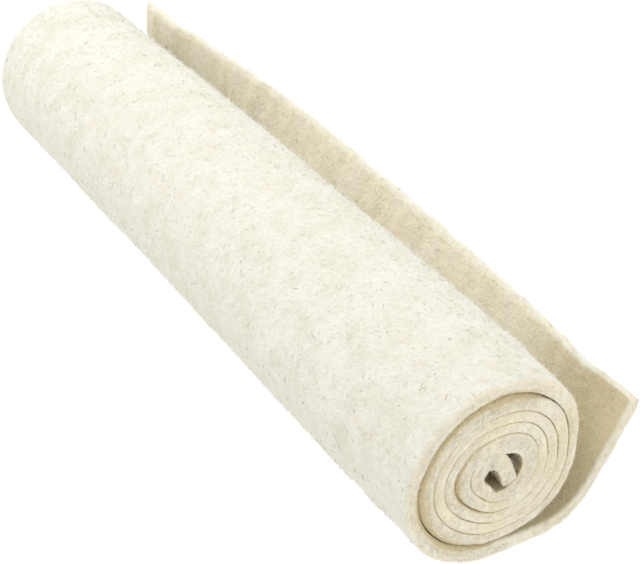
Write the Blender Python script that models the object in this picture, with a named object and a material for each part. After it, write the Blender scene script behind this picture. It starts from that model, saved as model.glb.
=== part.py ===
"""A roll of thick off-white wool felt, lying on a surface with its outer end left open.

The felt is one sheet. Seen from its near end the roll is a spiral: a short inner end is folded
back in the core, five turns go round it, and the outer end stands up beside the roll as a flap.
X runs across the roll towards the flap, Y along it from the near end, and Z is up. The roll
rests on Z = 0 along a narrow flat, with the middle of its box at X = 0 and Y = 0.
"""
import math
from collections import namedtuple

import bmesh
import bpy

MM = 0.001

# Driving sizes in millimetres
ROLL_LENGTH = 300.0
CENTRE_HEIGHT = 28.6
FLAT_DEPTH = 0.5
LAYER_GAP = 0.3
INNER_END_THICKNESS = 4.0
FIRST_LAYER_THICKNESS = 3.7
FLAP_THICKNESS = 3.0
FLAP_BEND_START = 7.7
FLAP_THINS_OVER = 0.6

# Steps round the roll and along the flap
SIDES = 8
STEPS_PER_SIDE = 4
FLAP_STEPS = 14

# Radius of the outer face of each turn, from the centre of the roll, on its eight sides.
# The first row is the core: the felt's inner end takes it up from its upper left on.
Turn = namedtuple("Turn", "bottom low_right right high_right top high_left left low_left")
TURNS = (
    Turn(6.0, 6.9, 7.6, 8.0, 8.5, 9.6, 9.3, 8.1),
    Turn(9.3, 11.0, 12.2, 13.2, 12.6, 13.6, 13.3, 11.8),
    Turn(12.6, 14.5, 15.3, 16.5, 16.2, 17.6, 17.6, 15.6),
    Turn(16.0, 17.8, 18.7, 19.9, 19.8, 21.1, 21.0, 19.4),
    Turn(19.5, 21.4, 22.0, 24.4, 24.0, 24.9, 24.5, 23.3),
    Turn(23.1, 24.9, 25.3, 29.2, 29.6, 30.0, 29.9, 29.2),
)
LAST_RADIUS = CENTRE_HEIGHT

# Where a turn stands off the one inside it by more than the layer gap
Parting = namedtuple("Parting", "turn side gap")
PARTINGS = (
    Parting(2, "high_left", 0.9),
    Parting(2, "left", 1.3),
    Parting(2, "low_left", 0.7),
    Parting(5, "top", 1.9),
    Parting(5, "high_left", 1.2),
    Parting(5, "left", 1.9),
    Parting(5, "low_left", 1.8),
    Parting(6, "bottom", 0.7),
)

# Middle of the felt's inner end, across and above the centre of the roll
INNER_END = ((3.5, -3.7), (2.8, -1.5), (2.0, 0.8), (1.1, 2.8), (-0.2, 4.8), (-2.1, 6.2))
SPIRAL_START = 4.75

# The roll at stations along it: how full it is, and the flap's length, the end of its bend
# and the angle in degrees that it turns through
Station = namedtuple("Station", "along swell flap bend_end turn")
STATIONS = (
    Station(0.0, 1.000, 63.0, 40.0, 60.0),
    Station(10.0, 1.012, 63.4, 40.2, 63.0),
    Station(22.0, 1.028, 63.6, 40.5, 73.0),
    Station(50.0, 1.030, 64.3, 41.0, 67.0),
    Station(100.0, 1.030, 65.9, 42.1, 63.5),
    Station(150.0, 1.032, 67.5, 43.1, 66.0),
    Station(200.0, 1.030, 69.0, 44.2, 69.5),
    Station(250.0, 1.028, 70.5, 45.2, 80.0),
    Station(300.0, 1.025, 72.1, 46.3, 86.0),
)

FELT_COLOUR = (0.86, 0.84, 0.76, 1.0)
FELT_ROUGHNESS = 0.95

RADII = [radius for turn in TURNS for radius in turn] + [LAST_RADIUS]


def layer_gaps():
    """Clearance under each turn at the same places as RADII."""
    gaps = [LAYER_GAP] * len(RADII)
    for parting in PARTINGS:
        gaps[parting.turn * SIDES + Turn._fields.index(parting.side)] = parting.gap
    return gaps


GAPS = layer_gaps()


def outer_radius(place):
    """Outer face of the spiral; a place counts sides from the bottom of the first row."""
    i = min(int(place), len(RADII) - 2)
    t = place - i
    a = RADII[max(i - 1, 0)]
    b = RADII[i]
    c = RADII[i + 1]
    d = RADII[min(i + 2, len(RADII) - 1)]
    curve = 2 * a - 5 * b + 4 * c - d
    return 0.5 * (2 * b + (c - a) * t + curve * t ** 2 + (3 * b - a - 3 * c + d) * t ** 3)


def gap_under(place):
    """Clearance between the spiral and the turn inside it."""
    i = min(int(place), len(GAPS) - 2)
    t = ease(place - i)
    return GAPS[i] * (1 - t) + GAPS[i + 1] * t


def ease(t):
    """Runs from 0 to 1 with a soft start and end."""
    t = min(max(t, 0.0), 1.0)
    return t * t * (3 - 2 * t)


def inner_radius(place):
    """Inner face of the spiral. Its first layer has its own thickness until one turn is done."""
    first = outer_radius(place) - FIRST_LAYER_THICKNESS
    if place >= SIDES:
        return outer_radius(place - SIDES) + gap_under(place)
    onto_core = ease(place - (SIDES - 1))
    return first * (1 - onto_core) + (RADII[0] + LAYER_GAP) * onto_core


def spiral():
    """Middle line of the wound felt, with its thickness at each point."""
    points = []
    first = math.ceil(SPIRAL_START * STEPS_PER_SIDE)
    for step in range(first, (len(RADII) - 1) * STEPS_PER_SIDE + 1):
        place = step / STEPS_PER_SIDE
        angle = 2 * math.pi * place / SIDES - math.pi / 2
        outer = outer_radius(place)
        inner = inner_radius(place)
        middle = (outer + inner) / 2
        points.append((middle * math.cos(angle), middle * math.sin(angle), outer - inner))
    return points


def flap(start, station):
    """Middle line of the loose outer end, which leaves the bottom of the roll level."""
    x, z, root = start
    points = []
    step = station.flap / FLAP_STEPS
    for i in range(FLAP_STEPS):
        run = (i + 0.5) * step
        bend = ease((run - FLAP_BEND_START) / (station.bend_end - FLAP_BEND_START))
        heading = math.radians(station.turn) * bend
        x += step * math.cos(heading)
        z += step * math.sin(heading)
        thins = min((i + 1) / (FLAP_STEPS * FLAP_THINS_OVER), 1.0)
        points.append((x, z, root + (FLAP_THICKNESS - root) * thins))
    return points


def outline(station):
    """Closed outline of the felt's section at a station, standing on the surface."""
    wound = [(x, z, INNER_END_THICKNESS) for x, z in INNER_END] + spiral()
    middle = wound + flap(wound[-1], station)
    outer = []
    inner = []
    for i, (x, z, thickness) in enumerate(middle):
        before = middle[max(i - 1, 0)]
        after = middle[min(i + 1, len(middle) - 1)]
        heading = math.atan2(after[1] - before[1], after[0] - before[0])
        across = math.sin(heading) * thickness / 2
        down = -math.cos(heading) * thickness / 2
        outer.append((x + across, z + down))
        inner.append((x - across, z - down))
    return [rest(x, z, station.swell) for x, z in outer + inner[::-1]]


def rest(x, z, swell):
    """Puts a point of the section above the surface, flattened where the roll rests."""
    height = (z + CENTRE_HEIGHT) * swell - FLAT_DEPTH
    return x * swell, max(height, 0.0)


def loft(sections):
    """Skins closed outlines set along Y, with the cut ends faced across the thickness."""
    bm = bmesh.new()
    rings = [[bm.verts.new((x * MM, y * MM, z * MM)) for x, z in points] for y, points in sections]
    count = len(rings[0])
    for near, far in zip(rings, rings[1:]):
        for i in range(count):
            k = (i + 1) % count
            bm.faces.new((near[i], near[k], far[k], far[i]))
    for ring in (rings[0], rings[-1]):
        for i in range(count // 2 - 1):
            bm.faces.new((ring[i], ring[i + 1], ring[count - 2 - i], ring[count - 1 - i]))
    bmesh.ops.recalc_face_normals(bm, faces=bm.faces)
    return bm


def felt_material():
    """Plain off-white wool felt."""
    material = bpy.data.materials.new("wool_felt")
    material.use_nodes = True
    shader = material.node_tree.nodes["Principled BSDF"]
    shader.inputs["Base Color"].default_value = FELT_COLOUR
    shader.inputs["Roughness"].default_value = FELT_ROUGHNESS
    shader.inputs["Metallic"].default_value = 0.0
    return material


def felt_roll():
    """The whole sheet, rolled up."""
    outlines = [outline(station) for station in STATIONS]
    across = [x for points in outlines for x, z in points]
    middle = (min(across) + max(across)) / 2
    sections = []
    for station, points in zip(STATIONS, outlines):
        y = station.along - ROLL_LENGTH / 2
        sections.append((y, [(x - middle, z) for x, z in points]))
    bm = loft(sections)
    mesh = bpy.data.meshes.new("felt_roll")
    bm.to_mesh(mesh)
    bm.free()
    mesh.shade_smooth()
    mesh.set_sharp_from_angle(angle=math.radians(40))
    mesh.materials.append(felt_material())
    roll = bpy.data.objects.new("felt_roll", mesh)
    bpy.context.scene.collection.objects.link(roll)
    return roll


for old in list(bpy.data.objects):
    bpy.data.objects.remove(old)
felt_roll()
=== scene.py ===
"""Looks of a roll of thick off-white wool felt, lying on a pale surface with its outer end open.

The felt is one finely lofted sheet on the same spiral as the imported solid, with uneven faces,
soft cut edges, loose surface fibres and a few darker hairs. Sizes below are in millimetres.
"""
import math
from collections import namedtuple

import bpy
import numpy as np
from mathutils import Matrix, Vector, noise


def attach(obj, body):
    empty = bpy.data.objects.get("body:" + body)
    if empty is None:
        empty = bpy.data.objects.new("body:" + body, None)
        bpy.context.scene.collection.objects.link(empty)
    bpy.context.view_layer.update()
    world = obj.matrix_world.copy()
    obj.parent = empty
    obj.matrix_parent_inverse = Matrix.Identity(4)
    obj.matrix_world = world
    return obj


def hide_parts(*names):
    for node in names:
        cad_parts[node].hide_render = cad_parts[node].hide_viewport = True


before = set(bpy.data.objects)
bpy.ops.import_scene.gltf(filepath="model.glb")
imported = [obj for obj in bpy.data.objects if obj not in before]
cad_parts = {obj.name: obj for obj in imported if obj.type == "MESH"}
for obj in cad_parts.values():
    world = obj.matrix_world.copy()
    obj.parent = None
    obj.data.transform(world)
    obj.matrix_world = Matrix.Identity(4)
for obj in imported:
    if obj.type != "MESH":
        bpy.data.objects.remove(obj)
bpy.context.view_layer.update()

MM = 0.001

# The felt's section, as in the solid, and its stations along the roll, which are closer together
# than there. CENTRE_ACROSS is the place of the spiral's centre across the frame.
ROLL_LENGTH = 300.0
CENTRE_HEIGHT = 28.6
CENTRE_ACROSS = -8.66
FLAT_DEPTH = 0.5
LAYER_GAP = 0.3
INNER_END_THICKNESS = 4.0
FIRST_LAYER_THICKNESS = 3.7
FLAP_THICKNESS = 3.0
FLAP_BEND_START = 7.7
FLAP_THINS_OVER = 0.6
SIDES = 8
Turn = namedtuple("Turn", "bottom low_right right high_right top high_left left low_left")
TURNS = (
    Turn(6.0, 6.9, 7.6, 8.0, 8.5, 9.6, 9.3, 8.1),
    Turn(9.3, 11.0, 12.2, 13.2, 12.6, 13.6, 13.3, 11.8),
    Turn(12.6, 14.5, 15.3, 16.5, 16.2, 17.6, 17.6, 15.6),
    Turn(16.0, 17.8, 18.7, 19.9, 19.8, 21.1, 21.0, 19.4),
    Turn(19.5, 21.4, 22.0, 24.4, 24.0, 24.9, 24.5, 23.3),
    Turn(23.1, 24.9, 25.3, 29.2, 29.6, 30.0, 29.9, 29.2),
)
LAST_RADIUS = CENTRE_HEIGHT
Parting = namedtuple("Parting", "turn side gap")
PARTINGS = (
    Parting(2, "high_left", 0.9),
    Parting(2, "left", 1.3),
    Parting(2, "low_left", 0.7),
    Parting(5, "top", 1.9),
    Parting(5, "high_left", 1.2),
    Parting(5, "left", 1.9),
    Parting(5, "low_left", 1.8),
    Parting(6, "bottom", 0.7),
)
INNER_END = ((3.5, -3.7), (2.8, -1.5), (2.0, 0.8), (1.1, 2.8), (-0.2, 4.8), (-2.1, 6.2))
SPIRAL_START = 4.75
FIRST_TURN_SIDES = 7.5
Station = namedtuple("Station", "along swell turn")
STATIONS = (
    Station(0.0, 1.000, 60.5),
    Station(8.0, 1.006, 63.0),
    Station(17.0, 1.013, 69.5),
    Station(23.0, 1.028, 72.5),
    Station(37.0, 1.031, 70.0),
    Station(50.0, 1.030, 67.0),
    Station(75.0, 1.030, 66.0),
    Station(100.0, 1.030, 63.0),
    Station(125.0, 1.031, 65.0),
    Station(150.0, 1.032, 66.0),
    Station(175.0, 1.031, 66.5),
    Station(200.0, 1.030, 69.0),
    Station(225.0, 1.029, 75.0),
    Station(250.0, 1.028, 80.0),
    Station(275.0, 1.026, 86.0),
    Station(300.0, 1.025, 86.0),
)

# Length of the flap and the end of its bend at the near end, and what each gains by the far end
FLAP_NEAR = 62.8
FLAP_GROWS = 9.3
BEND_END_NEAR = 40.0
BEND_END_GROWS = 6.3

# How finely the sheet is made: steps to a side of the spiral, lengths of steps, and rows
INNER_STEPS = 8
OUTER_STEPS = 20
INNER_END_STEPS = 24
FLAP_STEP = 1.2
ALONG_STEP = 1.3
END_ROWS = (0.0, 0.08, 0.25, 0.5, 0.85, 1.3, 2.4, 3.6, 5.0, 7.0)
COARSE_ROWS = 10
THICKNESS_STRIPS = 6

# Sums of smooth noises, each with a size, a height and a seed
FLAP_WAVES = ((17.0, 1.2, 3.0), (6.0, 0.9, 8.0))
FLAP_RAGGED = ((12.0, 0.35, 5.0), (4.0, 0.18, 9.0))
BULGE = ((34.0, 0.3, 1.0), (11.0, 0.14, 2.0))
RELIEF = ((5.0, 0.1, 6.0), (2.6, 0.08, 7.0))
CUT_WAVES = ((9.0, 0.35, 11.0), (2.6, 0.22, 12.0))
CUT_RELIEF = ((1.3, 0.16, 14.0),)
FLARE_WAVES = ((2.5, 0.35, 31.0),)
CORE_WAVES = ((2.0, 0.6, 33.0),)
SEED_SHIFT = 0.37

# Faces of the roll: how far they swell, how far apart the noises of both faces are, and a crease
BULGE_OUT = 0.25
RELIEF_APART = 9.0
CREASE_AT = 30.0
CREASE_WIDE = 4.0
CREASE_DEPTH = 0.5

# Soft edges: how far the cut ends round off, more beside an open gap, and at most in shares
# of half the thickness
OUTSIDE_ROUND = 1.3
FLAP_ROUND = 0.9
LAYER_ROUND = 0.62
GAP_ROUNDS = 0.75
ROUND_UNEVEN = 0.55
ROUND_LUMPS = (3.0, 15.0)
ROUND_SEEDS = (21.0, 51.0)
MOST_ROUNDED = 0.8
TIP_MOST_ROUNDED = 0.5

# The rounded free edge: how far the faces draw in there, how much narrower its tip is to each
# side, and how far the tip stands out
TIP_DRAWS_IN = 0.45
TIP_THINNER = 0.3
TIP_REACH = 0.55

# How the felt spreads at its cut ends, most in the core, and fills its gaps deeper in the roll
FLARE = 0.14
FLARE_LEAST = 0.8
FLARE_FADES = 3.0
CORE_FLARE = 0.25
CORE_FLARE_FADES = 8.0
GAPS_CLOSE_BY = 1.12
GAPS_CLOSE_OVER = 1.6

# Where the felt is thicker round the core, near the cut ends: place, extra, spread. The first
# turn's places and spreads are in sides, and the inner end's in shares of its length.
CORE_FILLS = ((4.9, 1.6, 0.8), (9.3, 0.5, 0.7), (11.9, 1.8, 0.9))
END_FILL = (0.72, 1.3, 0.2)

# The cut ends aren't quite straight, and the near one stands past the solid's, most at the flap.
# CROWN is how far a cut swells between its two faces.
CUT_FADES = 4.0
FAR_CUT_SEED = 40.0
NEAR_PAST = 0.3
FLAP_PAST = 0.8
FLAP_PAST_FROM = 15.0
FLAP_PAST_OVER = 20.0
CROWN = 0.35

# The far part of the roll lies aside a little, as in the photo
FAR_ASIDE = 0.9
FAR_FROM = 170.0

# A gap that is wider than the least by more than this counts as open
OPEN_GAP = 0.3

# Tints on the sheet's points: how tan it is, which is painted warm shade on its inner faces and along
# the grooves of its cut ends, and how cream, as on its cut ends. Depths and lengths first, then shares.
PAINTED_SHADE_TINT = "painted_shade_tint"
CUT_TINT = "cut_tint"
CUT_TINT_DEPTH = 1.5
GROOVE_TINT_DEPTH = 0.8
FLAP_WHITENS_OVER = 25.0
EDGE_WHITENS_OVER = 2.0
TAN_FROM_EDGE = 0.5
TAN_FROM_END = 0.3
FLAP_WHITENS_BY = 0.45
OUTSIDE_CREAM = 0.85
INSIDE_CREAM = 0.8
EDGE_CREAM = 0.55
# Cream falls along the grooves and beside open gaps, so that more painted shade shows there
GROOVE_CREAM = 0.9
GROOVE_CREAM_FALLS = 0.4
GROOVE_LINE_FALLS = 0.05
OPEN_GROOVE_LINE_FALLS = 0.15
FREE_EDGE_TINTS = (0.3, 0.5)

# Colours of the felt: three others lie in patches over the first
FACE_COLOURS = (
    (0.87, 0.86, 0.77, 1.0), (0.89, 0.885, 0.81, 1.0), (0.80, 0.805, 0.69, 1.0), (0.88, 0.81, 0.72, 1.0)
)
CUT_COLOURS = (
    (0.95, 0.88, 0.69, 1.0), (0.96, 0.92, 0.79, 1.0), (0.87, 0.795, 0.59, 1.0), (0.95, 0.85, 0.71, 1.0)
)
# Painted warm shade: the tan of the faces that lie in shade, on felt that is the same wool on both faces
PAINTED_SHADE_COLOURS = (
    (0.96, 0.88, 0.70, 1.0), (0.96, 0.905, 0.75, 1.0), (0.92, 0.855, 0.65, 1.0), (0.96, 0.845, 0.69, 1.0)
)
# Painted shade: a darker olive over the tan towards the near end, fading out between these two places along
# the roll
NEAR_PAINTED_SHADE = (0.70, 0.60, 0.39, 1.0)
NEAR_SHADE_FROM = -138.0
NEAR_SHADE_TO = -100.0
Patch = namedtuple("Patch", "size detail roughness low high")
PATCHES = (
    Patch(14.0, 3.0, 0.5, 0.40, 0.62),
    Patch(9.0, 4.0, 0.6, 0.48, 0.68),
    Patch(5.0, 3.0, 0.5, 0.54, 0.76),
)

# Between these values a tint blends in, and this much noise makes its borders ragged
TINT_BLENDS = (0.2, 0.8)
RAGGED_BY = 1.1

# Noises of the felt, each with a size, a detail and a roughness
RAGGED_NOISE = (1.1, 3.0, 0.6)
GRAIN_NOISE = (0.55, 4.0, 0.7)
SOFT_NOISE = (2.6, 3.0, 0.5)

# Relief and tone of the felt: webs of crossing fibres over a fine grain
Web = namedtuple("Web", "size warp turn share")
WEBS = (Web(1.5, 1.6, (0.3, 0.5, 0.7), 0.9), Web(0.9, 1.1, (1.2, 0.2, 2.1), 0.7))
WEB_STRETCH = (1.0, 0.45, 1.0)
WEB_BENDS = 1.7
WEB_BEND_DETAIL = 2.0
NOISE_MIDDLE = (0.5, 0.5, 0.5)
WEB_LINE = 0.16
WEB_HEIGHT = 0.35
GRAIN_DEPTH = 0.2
SOFT_DEPTH = 0.4
FIBRE_TONES = (0.3, 1.05)
FIBRE_CONTRAST = 0.17
FELT_FINISH = {"Roughness": 0.95, "Specular IOR Level": 0.15, "Sheen Weight": 0.15, "Sheen Roughness": 0.6}

# Loose fibres, light and dark, in patches of a few shades
LIGHT_FIBRES = ((0.97, 0.96, 0.88, 1.0), (0.96, 0.92, 0.80, 1.0), (0.98, 0.97, 0.92, 1.0))
DARK_FIBRES = (
    (0.33, 0.21, 0.13, 1.0),
    (0.34, 0.34, 0.24, 1.0),
    (0.46, 0.22, 0.17, 1.0),
    (0.10, 0.07, 0.05, 1.0),
    (0.55, 0.48, 0.30, 1.0),
)
LIGHT_PATCH = 3.0
DARK_PATCH = 4.0
PATCH_GROWS = 0.3
FIBRE_CLOUD = (2.0, 0.6)
FIBRE_BLENDS = (0.48, 0.60)
FIBRE_FINISH = {"Roughness": 0.9, "Specular IOR Level": 0.2}

# Kinds of fibre: how many, where, and their ranges of size. A tuft is several fibres that start
# close together, and spread is how far apart. A fibre that leans has its far end free.
Fibres = namedtuple(
    "Fibres", "name on count length width rise curl leans rings tuft spread wool", defaults=(1, 0.0, "light")
)
FIBRES = (
    Fibres("surface_fibres", "open", 13000, (1.0, 3.0), (0.05, 0.09), (0.03, 0.4), 0.5, False, 3),
    Fibres("raised_fibres", "open", 5900, (0.4, 1.9), (0.05, 0.1), (0.15, 1.0), 0.6, True, 2, 4, 0.3),
    Fibres("crest_fibres", "shoulder", 1300, (0.4, 1.8), (0.07, 0.11), (0.2, 1.4), 0.6, True, 2, 4, 0.25),
    Fibres("edge_fibres", "cuts", 12000, (0.5, 1.8), (0.06, 0.11), (0.05, 0.6), 0.5, True, 2),
    Fibres("gap_fibres", "gaps", 7000, (0.9, 2.6), (0.06, 0.11), (-0.3, 0.4), 0.9, True, 2),
    Fibres("dark_hairs", "open", 1500, (0.5, 2.0), (0.07, 0.15), (0.02, 0.14), 0.7, False, 4, wool="dark"),
    Fibres("dark_specks", "all", 340, (0.3, 0.6), (0.18, 0.38), (0.03, 0.12), 0.5, False, 3, wool="dark"),
)
SEED = 11

# How far a tuft's fibres point apart, and how far a face of the shoulder faces right and up
TUFT_SPLAY = 0.35
SHOULDER_FACES = 0.1

# A strand's sides, its start under the felt, its taper, its arch, and the least height of its points
FIBRE_SIDES = 3
FIBRE_SUNK = 0.03
FIBRE_TAPER = 0.5
ARCH_FROM = 0.1
ARCH_OVER = 0.8
LEAST_HEIGHT = 0.02

# Camera, floor and light, in metres
EYE = (-0.2184, -0.4214, 0.2995)
LOOK = (0.4195, 0.7394, -0.5266)
LENS = 90.0
SENSOR = 36.0
CLIP = (0.02, 100.0)
FLOOR_HALF = 30.0
FLOOR_WHITE = (0.22, 0.22, 0.22, 1.0)
FLOOR_GLOW_COLOUR = (1.0, 0.99, 0.96, 1.0)
FLOOR_FINISH = {"Roughness": 0.9, "Emission Strength": 0.88}
SKY_COLOUR = (1.0, 0.975, 0.91, 1.0)
SKY_STRENGTH = 0.70
Light = namedtuple("Light", "name at size power colour")
LIGHTS = (
    Light("soft_key", (-0.30, 0.62, 1.27), 1.2, 13.7, (0.955, 0.98, 1.0)),
    Light("front_fill", (0.7, -1.4, 0.55), 1.0, 5.2, (1.0, 1.0, 0.98)),
)

RADII = [radius for turn in TURNS for radius in turn] + [LAST_RADIUS]


def layer_gaps():
    """Clearance under each turn at the same places as RADII."""
    gaps = [LAYER_GAP] * len(RADII)
    for parting in PARTINGS:
        gaps[parting.turn * SIDES + Turn._fields.index(parting.side)] = parting.gap
    return gaps


GAPS = layer_gaps()


def ease(t):
    """Runs from 0 to 1 with a soft start and end."""
    t = min(max(t, 0.0), 1.0)
    return t * t * (3 - 2 * t)


def through(values, place):
    """Smooth curve through evenly spaced values."""
    i = min(int(place), len(values) - 2)
    t = place - i
    a = values[max(i - 1, 0)]
    b = values[i]
    c = values[i + 1]
    d = values[min(i + 2, len(values) - 1)]
    curve = 2 * a - 5 * b + 4 * c - d
    return 0.5 * (2 * b + (c - a) * t + curve * t ** 2 + (3 * b - a - 3 * c + d) * t ** 3)


def gap_under(place):
    """Clearance between the spiral and the turn inside it."""
    i = min(int(place), len(GAPS) - 2)
    t = ease(place - i)
    return GAPS[i] * (1 - t) + GAPS[i + 1] * t


def outer_radius(place):
    """Outer face of the spiral; a place counts sides from the bottom of the first row."""
    return through(RADII, place)


def inner_radius(place):
    """Inner face of the spiral."""
    first = outer_radius(place) - FIRST_LAYER_THICKNESS
    if place >= SIDES:
        return outer_radius(place - SIDES) + gap_under(place)
    onto_core = ease(place - (SIDES - 1))
    return first * (1 - onto_core) + (RADII[0] + LAYER_GAP) * onto_core


def spiral_places():
    """Places along the spiral, closer together on the outermost turn."""
    last = len(RADII) - 1
    outermost = last - SIDES
    steps = int((outermost - SPIRAL_START) * INNER_STEPS)
    inner = [SPIRAL_START + (outermost - SPIRAL_START) * i / steps for i in range(steps)]
    outer = [outermost + i / OUTER_STEPS for i in range(SIDES * OUTER_STEPS + 1)]
    return inner, outer


def station_values(along):
    """Swell, flap length, end of its bend and its turn, at a place along the roll."""
    k = 0
    while k < len(STATIONS) - 2 and along > STATIONS[k + 1].along:
        k += 1
    before = STATIONS[max(k - 1, 0)]
    a = STATIONS[k]
    b = STATIONS[k + 1]
    after = STATIONS[min(k + 2, len(STATIONS) - 1)]
    span = b.along - a.along
    t = min(max((along - a.along) / span, 0.0), 1.0)
    values = []
    for name in ("swell", "turn"):
        here, there = getattr(a, name), getattr(b, name)
        slope_a = (there - getattr(before, name)) / (b.along - before.along) * span
        slope_b = (getattr(after, name) - here) / (after.along - a.along) * span
        value = (2 * t ** 3 - 3 * t ** 2 + 1) * here + (t ** 3 - 2 * t ** 2 + t) * slope_a
        value += (3 * t ** 2 - 2 * t ** 3) * there + (t ** 3 - t ** 2) * slope_b
        values.append(value)
    share = along / ROLL_LENGTH
    bend_end = BEND_END_NEAR + BEND_END_GROWS * share
    return values[0], FLAP_NEAR + FLAP_GROWS * share, bend_end, values[1]


def wound_line():
    """Middle line of the wound felt: (x, z, thickness), and where the outermost turn starts."""
    ends = [(x, z, INNER_END_THICKNESS) for x, z in INNER_END]
    inner, outer = spiral_places()
    points = []
    for place in inner + outer:
        angle = 2 * math.pi * place / SIDES - math.pi / 2
        low, high = inner_radius(place), outer_radius(place)
        middle = (low + high) / 2
        points.append((middle * math.cos(angle), middle * math.sin(angle), high - low))
    knots = ends + points[:2]
    xs, zs, ts = ([p[i] for p in knots] for i in range(3))
    start = []
    for i in range(INNER_END_STEPS):
        at = len(ends) * i / INNER_END_STEPS
        start.append((through(xs, at), through(zs, at), through(ts, at)))
    return start + points, INNER_END_STEPS + len(inner)


WOUND, OUTERMOST = wound_line()
FIRST_TURN = INNER_END_STEPS + int(FIRST_TURN_SIDES * INNER_STEPS)
FLAP_STEPS = int((FLAP_NEAR + FLAP_GROWS / 2) / FLAP_STEP)

# Points of a section, the column after the inner face's last one, and what the functions return
SECTION_POINTS = len(WOUND) + FLAP_STEPS
INNER_FACE_END = 2 * SECTION_POINTS + THICKNESS_STRIPS - 1
Section = namedtuple("Section", "outer inner tip start outward swell")
Felt = namedtuple("Felt", "verts faces tints shown ends gap_ends")


def felt_line(along):
    """Middle line of the whole section as arrays: points, directions and thickness."""
    swell, length, bend_end, turn = station_values(along)
    x, z, root = WOUND[-1]
    step = length / FLAP_STEPS
    line = list(WOUND)
    for i in range(FLAP_STEPS):
        run = (i + 0.5) * step
        bend = ease((run - FLAP_BEND_START) / (bend_end - FLAP_BEND_START))
        heading = math.radians(turn) * bend
        x += step * math.cos(heading)
        z += step * math.sin(heading)
        thins = min((i + 1) / (FLAP_STEPS * FLAP_THINS_OVER), 1.0)
        line.append((x, z, root + (FLAP_THICKNESS - root) * thins))
    line = np.array(line)
    xz = line[:, :2]
    ahead = np.vstack([xz[1:], xz[-1:]]) - np.vstack([xz[:1], xz[:-1]])
    ahead /= np.linalg.norm(ahead, axis=1)[:, None]
    return xz, ahead, line[:, 2], swell


def lumps(x, y, z, size, seed):
    """Smooth noise from -1 to 1 at a size in millimetres."""
    return noise.noise(Vector((x / size + seed, y / size - seed, z / size + SEED_SHIFT * seed)))


def rounded(distance, radius):
    """How far a face draws in at a distance from a softly rounded edge."""
    if distance >= radius:
        return 0.0
    return radius - math.sqrt(radius ** 2 - (radius - distance) ** 2)


def rows_along():
    """Rows along the whole roll, and the numbers of those that the inner turns keep."""
    near = list(END_ROWS)
    far = [ROLL_LENGTH - row for row in reversed(END_ROWS)]
    span = far[0] - near[-1]
    count = int(span / ALONG_STEP)
    between = [near[-1] + span * i / count for i in range(1, count)]
    rows = near + between + far
    first, last = len(near) - 1, len(near) - 1 + count
    kept = set(range(first)) | set(range(last, len(rows)))
    kept |= {round(first + count * i / COARSE_ROWS) for i in range(COARSE_ROWS)}
    return rows, kept


def waves(table, x, y, z):
    """Sum of smooth noises, each with a size, a height and a seed."""
    return sum(height * lumps(x, y, z, size, seed) for size, height, seed in table)


def spare_gaps(turns_out):
    """Clearance beyond the least, under each point of the wound felt or some turns further out."""
    inner, outer = spiral_places()
    spare = []
    for place in inner + outer:
        at = place + turns_out * SIDES
        has_gap = SIDES <= at <= len(RADII) - 1
        spare.append(max(gap_under(at) - LAYER_GAP, 0.0) if has_gap else 0.0)
    return np.array([0.0] * INNER_END_STEPS + spare)


SPARE = spare_gaps(0)
SPARE_OVER = spare_gaps(1)


def core_fill():
    """Extra thickness of the inner end and the first turn, at each point of the wound felt's inner face."""
    at, extra, spread = END_FILL
    shares = [i / INNER_END_STEPS for i in range(INNER_END_STEPS)]
    fill = [extra * math.exp(-(((share - at) / spread) ** 2)) for share in shares]
    inner, outer = spiral_places()
    for place in inner + outer:
        bumps = (extra * math.exp(-(((place - at) / spread) ** 2)) for at, extra, spread in CORE_FILLS)
        fill.append(sum(bumps))
    return np.array(fill)


CORE_FILL = core_fill()


def edge_round(side, i, x, z):
    """Radius of the soft edge of a cut end."""
    fine = lumps(x, 0.0, z, ROUND_LUMPS[0], ROUND_SEEDS[0] + side)
    coarse = lumps(x, 0.0, z, ROUND_LUMPS[1], ROUND_SEEDS[1])
    uneven = 1 + ROUND_UNEVEN * fine + ROUND_UNEVEN * coarse
    if i >= len(WOUND):
        return FLAP_ROUND * uneven
    uneven += GAP_ROUNDS * (SPARE_OVER[i] if side > 0 else SPARE[i])
    if side > 0 and i > OUTERMOST:
        return uneven * (LAYER_ROUND + (OUTSIDE_ROUND - LAYER_ROUND) * ease((i - OUTERMOST) / OUTER_STEPS))
    return LAYER_ROUND * uneven


def section_at(along):
    """The felt's section at a row: its outer face, inner face, tip and start, and its directions."""
    points, ahead, thickness, swell = felt_line(along)
    wound = len(WOUND)
    outward = np.stack([ahead[:, 1], -ahead[:, 0]], axis=1)
    from_end = min(along, ROLL_LENGTH - along)
    flare = FLARE * (1 - ease(from_end / FLARE_FADES))
    core_share = 1 - ease(from_end / CORE_FLARE_FADES)
    core = CORE_FLARE * core_share
    closing = GAPS_CLOSE_BY * ease(from_end / GAPS_CLOSE_OVER)
    faces = []
    for side in (1, -1):
        offset = thickness / 2
        offset[:wound] += closing / 2 * (SPARE_OVER if side > 0 else SPARE)
        if side < 0:
            offset[:wound] += core_share * CORE_FILL
        for i in range(SECTION_POINTS):
            x, z = points[i]
            if flare and i < wound and (side < 0 or i < OUTERMOST):
                offset[i] += flare * (FLARE_LEAST + waves(FLARE_WAVES, x, 0.0, z))
            if core and (i < INNER_END_STEPS or side < 0 and i < FIRST_TURN):
                offset[i] += core * (1 + waves(CORE_WAVES, x, 0.0, z))
            most = MOST_ROUNDED * thickness[i] / 2
            offset[i] -= min(rounded(from_end, edge_round(side, i, x, z)), most)
        offset[-1] -= TIP_DRAWS_IN
        faces.append(points + side * outward * offset[:, None])
    tip = tip_points(points[-1], ahead[-1], outward[-1], thickness[-1] / 2, from_end, 1)
    start = tip_points(points[0], ahead[0], outward[0], thickness[0] / 2, from_end, -1)
    return Section(faces[0], faces[1], tip, start, outward, swell)


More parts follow.
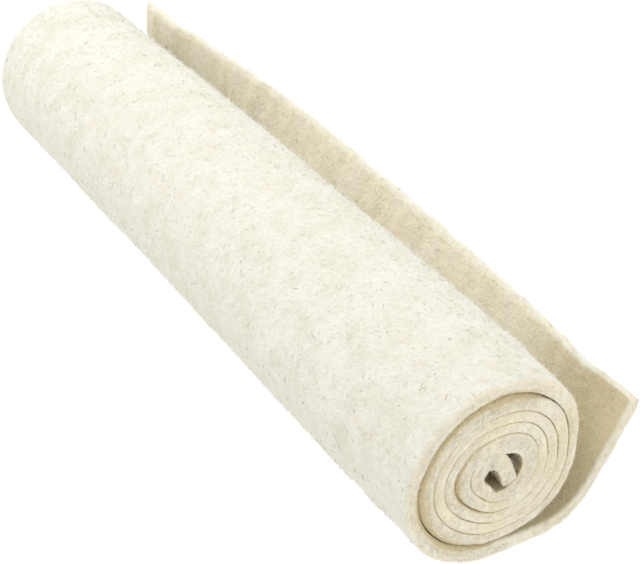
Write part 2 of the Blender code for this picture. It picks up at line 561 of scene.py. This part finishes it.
def tip_points(end, ahead, outward, half, from_end, way):
    """Rounded edge across the thickness, at the felt's outer end or, backwards, its inner end."""
    reach = half - TIP_THINNER - min(rounded(from_end, FLAP_ROUND), TIP_MOST_ROUNDED * half)
    points = []
    for k in range(1, THICKNESS_STRIPS):
        across = way * (1 - 2 * k / THICKNESS_STRIPS)
        forward = way * TIP_REACH * (1 - abs(across) ** 3)
        points.append(end + ahead * forward + outward * reach * across)
    return np.array(points)


def ring_of(section):
    """A section's points in order round it, each with its outward direction, number and side."""
    last = SECTION_POINTS - 1
    ring = [(section.outer[i], section.outward[i], i, 1) for i in range(SECTION_POINTS)]
    ring += [(point, section.outward[last], last, 0) for point in section.tip]
    ring += [(section.inner[i], section.outward[i], i, -1) for i in range(last, -1, -1)]
    ring += [(point, section.outward[0], 0, 0) for point in section.start]
    return ring


def made_uneven(point, out, i, side, along):
    """A section point moved by the felt's bulges, crease and relief, and by its free edge's waves."""
    x, z = point
    wound = len(WOUND)
    if i >= OUTERMOST:
        grows = ease((i - OUTERMOST) / (2 * OUTER_STEPS))
        push = grows * (BULGE_OUT + waves(BULGE, x, along, z))
        if i < wound:
            push -= grows * CREASE_DEPTH * math.exp(-(((along - CREASE_AT) / CREASE_WIDE) ** 2))
        if side > 0 or side < 0 and i >= wound:
            push += side * grows * waves(RELIEF, x, along + RELIEF_APART * side, z)
        x += out[0] * push
        z += out[1] * push
    if i >= wound:
        far = (i - wound) / (SECTION_POINTS - wound)
        push = far ** 2 * waves(FLAP_WAVES, 0.0, along, 0.0)
        ragged = far ** 6 * waves(FLAP_RAGGED, 0.0, along, 0.0)
        x += out[0] * push
        z += out[1] * push
        x -= out[1] * ragged
        z += out[0] * ragged
    return x, z


def cut_shift(x, along, z):
    """How far a point near a cut end moves along the roll."""
    from_end = min(along, ROLL_LENGTH - along)
    weight = 1 - ease(from_end / CUT_FADES)
    if weight <= 0:
        return 0.0
    if along > ROLL_LENGTH / 2:
        return weight * waves(CUT_WAVES, x, FAR_CUT_SEED, z)
    at_flap = ease((x - CENTRE_ACROSS - FLAP_PAST_FROM) / FLAP_PAST_OVER)
    return weight * (waves(CUT_WAVES, x, 0.0, z) - NEAR_PAST - FLAP_PAST * at_flap)


def placed(x, along, z, swell):
    """A section point in metres, standing on the surface."""
    height = max((z + CENTRE_HEIGHT) * swell - FLAT_DEPTH, 0.0)
    aside = CENTRE_ACROSS - FAR_ASIDE * ease((along - FAR_FROM) / (ROLL_LENGTH - FAR_FROM))
    shift = cut_shift(x, along, z)
    return (x * swell + aside) * MM, (along + shift - ROLL_LENGTH / 2) * MM, height * MM


def cut_cream(i):
    """How cream the cut end is: less along the flap, whose edge is whiter."""
    return 1 - FLAP_WHITENS_BY * ease((i - len(WOUND)) * FLAP_STEP / FLAP_WHITENS_OVER)


def cut_tints(i, k):
    """How tan and how cream a cut end is at a strip across its thickness: painted shade along its grooves,
    deeper beside open gaps.
    """
    if i >= len(WOUND) or k not in (1, THICKNESS_STRIPS - 1):
        return 0.0, cut_cream(i)
    spare = SPARE_OVER[i] if k == 1 else SPARE[i]
    return 1.0, cut_cream(i) - GROOVE_LINE_FALLS - OPEN_GROOVE_LINE_FALLS * min(spare, 1.0)


def tints_at(i, side, along):
    """How tan, which is painted shade, and how cream the felt is at a point of its section."""
    from_end = min(along, ROLL_LENGTH - along)
    near_cut = 1 - ease(from_end / CUT_TINT_DEPTH)
    if side > 0 and i >= OUTERMOST:
        return 0.0, OUTSIDE_CREAM * near_cut
    if side == 0 and i:
        return FREE_EDGE_TINTS
    if i < len(WOUND):
        spare = SPARE_OVER[i] if side > 0 else SPARE[i]
        # Beside an open gap less cream lets more painted shade show in the groove
        cream = GROOVE_CREAM - GROOVE_CREAM_FALLS * min(spare, 1.0)
        return 1.0, (1 - ease(from_end / GROOVE_TINT_DEPTH)) * cream
    # On the flap's inner face the painted shade fades out towards its free edge and its cut ends
    from_edge = (SECTION_POINTS - 1 - i) * FLAP_STEP
    tan = ease((from_edge + TAN_FROM_EDGE) / EDGE_WHITENS_OVER)
    tan *= ease((from_end + TAN_FROM_END) / EDGE_WHITENS_OVER)
    return tan, max(INSIDE_CREAM * near_cut, EDGE_CREAM * (1 - tan))


def felt_points():
    """The sheet's vertices, their tints, and for each column round the section its vertices by row."""
    rows, kept = rows_along()
    fine = range(OUTERMOST, INNER_FACE_END - len(WOUND) + 1)
    verts, tints = [], []
    columns = [{} for _ in range(INNER_FACE_END + THICKNESS_STRIPS - 1)]
    for r, along in enumerate(rows):
        section = section_at(along)
        for c, (point, out, i, side) in enumerate(ring_of(section)):
            if c not in fine and r not in kept:
                continue
            x, z = made_uneven(point, out, i, side, along)
            columns[c][r] = len(verts)
            verts.append(placed(x, along, z, section.swell))
            tints.append(tints_at(i, side, along))
    return verts, tints, columns


def side_faces(columns, row_count):
    """Faces between neighbouring columns, and the numbers of those between two columns of all rows."""
    faces, shown = [], []
    for a, b in zip(columns, columns[1:] + columns[:1]):
        if len(a) == len(b):
            if len(a) == row_count:
                shown += range(len(faces), len(faces) + row_count - 1)
            rows = sorted(a)
            faces += [(a[s], b[s], b[r], a[r]) for r, s in zip(rows, rows[1:])]
            continue
        rows = sorted(min(a, b, key=len))
        for r, s in zip(rows, rows[1:]):
            for k in range(r, s):
                faces.append((b[k + 1], b[k], a[r]) if len(a) < len(b) else (a[k], a[k + 1], b[r]))
            faces.append((a[s], b[s], a[r] if len(a) < len(b) else b[r]))
    return faces, shown


def end_strips(verts, tints, columns, r, way):
    """Points across the thickness all along a cut end; those between both faces are added here."""
    strips = []
    between = range(1, THICKNESS_STRIPS)
    for i in range(SECTION_POINTS):
        front = columns[i][r]
        back = columns[INNER_FACE_END - 1 - i][r]
        if i == 0:
            middle = [columns[-k][r] for k in between]
        elif i == SECTION_POINTS - 1:
            middle = [columns[i + k][r] for k in between]
        else:
            middle = []
            a, b = np.array(verts[front]), np.array(verts[back])
            for k in between:
                x, y, z = a + (b - a) * k / THICKNESS_STRIPS
                crown = CROWN * (1 - (2 * k / THICKNESS_STRIPS - 1) ** 2)
                shift = (crown + waves(CUT_RELIEF, x / MM, 0.0, z / MM)) * way
                middle.append(len(verts))
                verts.append((x, y + shift * MM, z))
                tints.append(cut_tints(i, k))
        strips.append([front] + middle + [back])
    return strips


def is_by_gap(i):
    """Whether a cut end's strip is in the core or beside an open gap."""
    return i < FIRST_TURN or i < len(WOUND) and max(SPARE[i], SPARE_OVER[i]) > OPEN_GAP


def felt_sheet():
    """The whole sheet as one closed mesh, its faces turned outwards."""
    verts, tints, columns = felt_points()
    row_count = max(len(column) for column in columns)
    faces, shown = side_faces(columns, row_count)
    ends, gap_ends = [], []
    for r, way in ((0, -1), (row_count - 1, 1)):
        strips = end_strips(verts, tints, columns, r, way)
        for i, (one, two) in enumerate(zip(strips, strips[1:])):
            for k in range(THICKNESS_STRIPS):
                (gap_ends if is_by_gap(i) else ends).append(len(faces))
                face = (one[k], one[k + 1], two[k + 1], two[k])
                faces.append(face if way > 0 else face[::-1])
    return Felt(verts, faces, tints, shown, ends, gap_ends)


def new_object(name, verts, faces, material):
    """A smooth mesh object in the scene."""
    mesh = bpy.data.meshes.new(name)
    mesh.from_pydata(verts, [], faces)
    mesh.update()
    mesh.shade_smooth()
    mesh.materials.append(material)
    made = bpy.data.objects.new(name, mesh)
    bpy.context.scene.collection.objects.link(made)
    return made


class Nodes:
    """Short ways to add and join the nodes of one material."""

    def __init__(self, name):
        self.material = bpy.data.materials.new(name)
        self.material.use_nodes = True
        self.tree = self.material.node_tree
        self.shader = self.tree.nodes["Principled BSDF"]
        self.place = self.tree.nodes.new("ShaderNodeTexCoord").outputs["Object"]

    def fill(self, socket, value):
        if isinstance(value, bpy.types.NodeSocket):
            self.tree.links.new(value, socket)
        else:
            socket.default_value = value

    def add(self, kind, inputs, **settings):
        node = self.tree.nodes.new(kind)
        for name, value in settings.items():
            setattr(node, name, value)
        for name, value in inputs.items():
            self.fill(node.inputs[name], value)
        return node

    def noise(self, size, detail, roughness=0.5):
        inputs = {"Vector": self.place, "Scale": 1 / (size * MM), "Detail": detail, "Roughness": roughness}
        return self.add("ShaderNodeTexNoise", inputs).outputs

    def math(self, operation, a, b, c=0.0):
        return self.add("ShaderNodeMath", {0: a, 1: b, 2: c}, operation=operation).outputs[0]

    def ramp(self, value, low, high, to_low=0.0, to_high=1.0):
        inputs = {"Value": value, "From Min": low, "From Max": high, "To Min": to_low, "To Max": to_high}
        return self.add("ShaderNodeMapRange", inputs).outputs[0]

    def mix(self, share, a, b, blend="MIX"):
        inputs = {0: share, 6: a, 7: b}
        return self.add("ShaderNodeMix", inputs, data_type="RGBA", blend_type=blend).outputs[2]

    def vector(self, operation, inputs):
        return self.add("ShaderNodeVectorMath", inputs, operation=operation).outputs[0]

    def bump(self, height, distance, normal=None):
        inputs = {"Height": height, "Distance": distance * MM, "Strength": 1.0}
        if normal is not None:
            inputs["Normal"] = normal
        return self.add("ShaderNodeBump", inputs).outputs[0]

    def finish(self, inputs):
        for name, value in inputs.items():
            self.fill(self.shader.inputs[name], value)
        return self.material


def fibre_web(nodes, web):
    """Thin crossing lines like pressed fibres: 1 on a fibre, 0 between."""
    bend = nodes.noise(web.size * WEB_BENDS, WEB_BEND_DETAIL)["Color"]
    push = nodes.vector("SUBTRACT", {0: bend, 1: NOISE_MIDDLE})
    push = nodes.vector("SCALE", {0: push, "Scale": web.warp * MM})
    place = nodes.vector("ADD", {0: nodes.place, 1: push})
    inputs = {"Vector": place, "Rotation": web.turn, "Scale": WEB_STRETCH}
    turned = nodes.add("ShaderNodeMapping", inputs).outputs[0]
    inputs = {"Vector": turned, "Scale": 1 / (web.size * MM)}
    cells = nodes.add("ShaderNodeTexVoronoi", inputs, feature="DISTANCE_TO_EDGE")
    line = nodes.ramp(cells.outputs["Distance"], 0.0, WEB_LINE, 1.0, 0.0)
    return nodes.math("MULTIPLY", line, web.share)


def mottled(nodes, colours, shares):
    """The first colour with the others laid over it in patches."""
    base = colours[0]
    for colour, share in zip(colours[1:], shares):
        base = nodes.mix(share, base, colour)
    return base


def felt_tints(nodes):
    """The two tints stored on the sheet's points, the first painted shade and the second cream, with ragged
    borders.
    """
    grain = nodes.noise(*RAGGED_NOISE)["Fac"]
    ragged = nodes.math("MULTIPLY_ADD", grain, RAGGED_BY, -RAGGED_BY / 2)
    tints = []
    for attribute in (PAINTED_SHADE_TINT, CUT_TINT):
        value = nodes.add("ShaderNodeAttribute", {}, attribute_name=attribute).outputs["Fac"]
        tints.append(nodes.ramp(nodes.math("ADD", value, ragged), *TINT_BLENDS))
    return tints


def felt_colour(nodes):
    """Mottled off-white with painted shade: tan on the inner faces and grooves, darker olive towards the
    near end, and cream on the cuts.
    """
    shares = []
    for patch in PATCHES:
        cloud = nodes.noise(patch.size, patch.detail, patch.roughness)["Fac"]
        shares.append(nodes.ramp(cloud, patch.low, patch.high))
    tan, cream = felt_tints(nodes)
    # Painted shade: the tan of the inner faces turns to a darker olive towards the near end
    along = nodes.add("ShaderNodeSeparateXYZ", {"Vector": nodes.place}).outputs["Y"]
    near = nodes.ramp(along, NEAR_SHADE_FROM * MM, NEAR_SHADE_TO * MM, 1.0, 0.0)
    inner = nodes.mix(near, mottled(nodes, PAINTED_SHADE_COLOURS, shares), NEAR_PAINTED_SHADE)
    base = nodes.mix(tan, mottled(nodes, FACE_COLOURS, shares), inner)
    return nodes.mix(cream, base, mottled(nodes, CUT_COLOURS, shares))


def felt_material(name):
    """Pressed wool: mottled colour, darker between its crossing fibres, with a soft relief."""
    nodes = Nodes(name)
    web = nodes.math("MAXIMUM", *(fibre_web(nodes, web) for web in WEBS))
    height = nodes.math("MULTIPLY_ADD", web, WEB_HEIGHT, nodes.noise(*GRAIN_NOISE)["Fac"])
    tone = nodes.ramp(height, *FIBRE_TONES, 1.0 - FIBRE_CONTRAST, 1.0)
    grey = nodes.add("ShaderNodeCombineColor", {0: tone, 1: tone, 2: tone}).outputs[0]
    soft = nodes.bump(nodes.noise(*SOFT_NOISE)["Fac"], SOFT_DEPTH)
    return nodes.finish({
        "Base Color": nodes.mix(1.0, felt_colour(nodes), grey, "MULTIPLY"),
        "Normal": nodes.bump(height, GRAIN_DEPTH, soft),
        **FELT_FINISH,
    })


def fibre_material(name, colours, size):
    """Loose fibres in patches of a few shades."""
    nodes = Nodes(name)
    shares = []
    for k in range(len(colours) - 1):
        cloud = nodes.noise(size * (1 + PATCH_GROWS * k), *FIBRE_CLOUD)["Fac"]
        shares.append(nodes.ramp(cloud, *FIBRE_BLENDS))
    return nodes.finish({"Base Color": mottled(nodes, colours, shares), **FIBRE_FINISH})


def spots(mesh, picked, count, rng):
    """Random places on a mesh's picked faces, spread by area: positions and normals."""
    total = len(mesh.polygons)
    area = np.empty(total)
    mesh.polygons.foreach_get("area", area)
    weight = np.where(picked, area, 0.0)
    chosen = rng.choice(total, count, p=weight / weight.sum())
    normals = np.empty(total * 3)
    mesh.polygons.foreach_get("normal", normals)
    points = np.empty((count, 3))
    for n, index in enumerate(chosen):
        corners = [mesh.vertices[v].co for v in mesh.polygons[int(index)].vertices]
        u, v = rng.random(2)
        if u + v > 1:
            u, v = 1 - u, 1 - v
        in_first_half = rng.random() < 0.5
        a, b, c = corners[:3] if in_first_half else (corners[0], corners[2], corners[-1])
        points[n] = a + (b - a) * u + (c - a) * v
    return points / MM, normals.reshape(-1, 3)[chosen]


def across(vectors, normals):
    """The parts of vectors that lie in the surface."""
    return vectors - normals * np.sum(vectors * normals, axis=1)[:, None]


def tufts(points, normals, each, spread, rng):
    """Several places close round each given one."""
    points, normals = np.repeat(points, each, axis=0), np.repeat(normals, each, axis=0)
    return points + across(rng.normal(scale=spread, size=points.shape), normals), normals


def strand_faces(rings):
    """Triangles of one three-sided strand, by the numbers of its corners."""
    faces = []
    for low in range(0, (rings - 1) * FIBRE_SIDES, FIBRE_SIDES):
        high = low + FIBRE_SIDES
        for c in range(FIBRE_SIDES):
            d = (c + 1) % FIBRE_SIDES
            faces.append((low + c, low + d, high + d))
            faces.append((low + c, high + d, high + c))
    last = FIBRE_SIDES * (rings - 1)
    return np.array(faces + [(2, 1, 0), (last, last + 1, last + 2)])


def strands(kind, points, normals, rng):
    """Corners of thin strands that start at points on a surface, in millimetres."""
    count = len(points)
    aim = np.repeat(rng.normal(size=(count // kind.tuft, 3)), kind.tuft, axis=0)
    aim = across(aim + TUFT_SPLAY * rng.normal(size=(count, 3)), normals)
    aim /= np.linalg.norm(aim, axis=1)[:, None]
    side = np.cross(normals, aim)
    length = rng.uniform(*kind.length, count)[:, None]
    bend = rng.uniform(-kind.curl, kind.curl, count)[:, None]
    rise = rng.uniform(*kind.rise, count)[:, None]
    thick = rng.uniform(*kind.width, count)[:, None, None] / 2
    paths = []
    for s in np.linspace(0.0, 1.0, kind.rings):
        run = aim * length * s + side * bend * length * s ** 2
        lift = s if kind.leans else math.sin(math.pi * (ARCH_FROM + ARCH_OVER * s))
        paths.append(points + run + normals * (rise * lift - FIBRE_SUNK))
    path = np.stack(paths, axis=1)
    taper = np.linspace(1.0, FIBRE_TAPER, kind.rings)[None, :, None]
    corners = []
    for k in range(FIBRE_SIDES):
        angle = math.pi / 2 + 2 * math.pi * k / FIBRE_SIDES
        out = side[:, None] * math.cos(angle) + normals[:, None] * math.sin(angle)
        corners.append(path + out * thick * taper)
    verts = np.stack(corners, axis=2).reshape(-1, 3)
    verts[:, 2] = np.maximum(verts[:, 2], LEAST_HEIGHT)
    return verts


def loose_fibres(kind, mesh, picked, material, rng):
    """One kind of loose fibre on the sheet's picked faces, as one piece."""
    points, normals = spots(mesh, picked, kind.count, rng)
    if kind.tuft > 1:
        points, normals = tufts(points, normals, kind.tuft, kind.spread, rng)
    verts = strands(kind, points, normals, rng)
    first = np.arange(len(points))[:, None, None] * kind.rings * FIBRE_SIDES
    faces = (first + strand_faces(kind.rings)[None]).reshape(-1, 3)
    made = new_object(kind.name, (verts * MM).tolist(), faces.tolist(), material)
    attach(made, "root")
    return made


def marked(total, *groups):
    """A mask of all faces with the given numbers set."""
    mask = np.zeros(total, bool)
    for numbers in groups:
        mask[numbers] = True
    return mask


def fibre_places(mesh, felt):
    """Masks of the faces on which each kind of fibre grows."""
    total = len(felt.faces)
    open_face = marked(total, felt.shown)
    cut_ends = marked(total, felt.ends, felt.gap_ends)
    facing = np.array([face.normal for face in mesh.polygons])
    return {
        "open": open_face,
        "shoulder": open_face & (facing[:, 0] > SHOULDER_FACES) & (facing[:, 2] > SHOULDER_FACES),
        "cuts": cut_ends,
        "gaps": marked(total, felt.gap_ends),
        "all": open_face | cut_ends,
    }


def aimed(made, at, towards):
    """Places an object in the scene and turns it to look along a direction."""
    made.location = at
    made.rotation_mode = "QUATERNION"
    made.rotation_quaternion = Vector(towards).to_track_quat("-Z", "Y")
    bpy.context.scene.collection.objects.link(made)


def add_camera():
    """The camera, where the photo was taken from."""
    data = bpy.data.cameras.new("camera")
    data.lens = LENS
    data.sensor_width = SENSOR
    data.clip_start, data.clip_end = CLIP
    camera = bpy.data.objects.new("camera", data)
    aimed(camera, EYE, LOOK)
    bpy.context.scene.camera = camera


def add_floor():
    """A pale floor with a glow of its own, which shows no shadow."""
    nodes = Nodes("pale_floor")
    nodes.finish({"Base Color": FLOOR_WHITE, "Emission Color": FLOOR_GLOW_COLOUR, **FLOOR_FINISH})
    h = FLOOR_HALF
    corners = [(-h, -h, 0), (h, -h, 0), (h, h, 0), (-h, h, 0)]
    new_object("floor", corners, [(0, 1, 2, 3)], nodes.material)


def add_light():
    """Soft light from all round and from a few large round lamps."""
    world = bpy.data.worlds.new("studio")
    world.use_nodes = True
    background = world.node_tree.nodes["Background"]
    background.inputs["Color"].default_value = SKY_COLOUR
    background.inputs["Strength"].default_value = SKY_STRENGTH
    bpy.context.scene.world = world
    for light in LIGHTS:
        data = bpy.data.lights.new(light.name, "AREA")
        data.shape = "DISK"
        data.size = light.size
        data.energy = light.power
        data.color = light.colour
        aimed(bpy.data.objects.new(light.name, data), light.at, -Vector(light.at))
    bpy.context.scene.view_settings.view_transform = "Standard"


felt = felt_sheet()
sheet = new_object("felt_sheet", felt.verts, felt.faces, felt_material("wool_felt"))
for name, values in zip((PAINTED_SHADE_TINT, CUT_TINT), zip(*felt.tints)):
    sheet.data.attributes.new(name, "FLOAT", "POINT").data.foreach_set("value", values)
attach(sheet, "root")
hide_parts("felt_roll")

rng = np.random.default_rng(SEED)
places = fibre_places(sheet.data, felt)
wools = {
    "light": fibre_material("light_wool_fibre", LIGHT_FIBRES, LIGHT_PATCH),
    "dark": fibre_material("dark_wool_fibre", DARK_FIBRES, DARK_PATCH),
}
loose = [loose_fibres(kind, sheet.data, places[kind.on], wools[kind.wool], rng) for kind in FIBRES]

add_camera()
add_floor()
add_light()
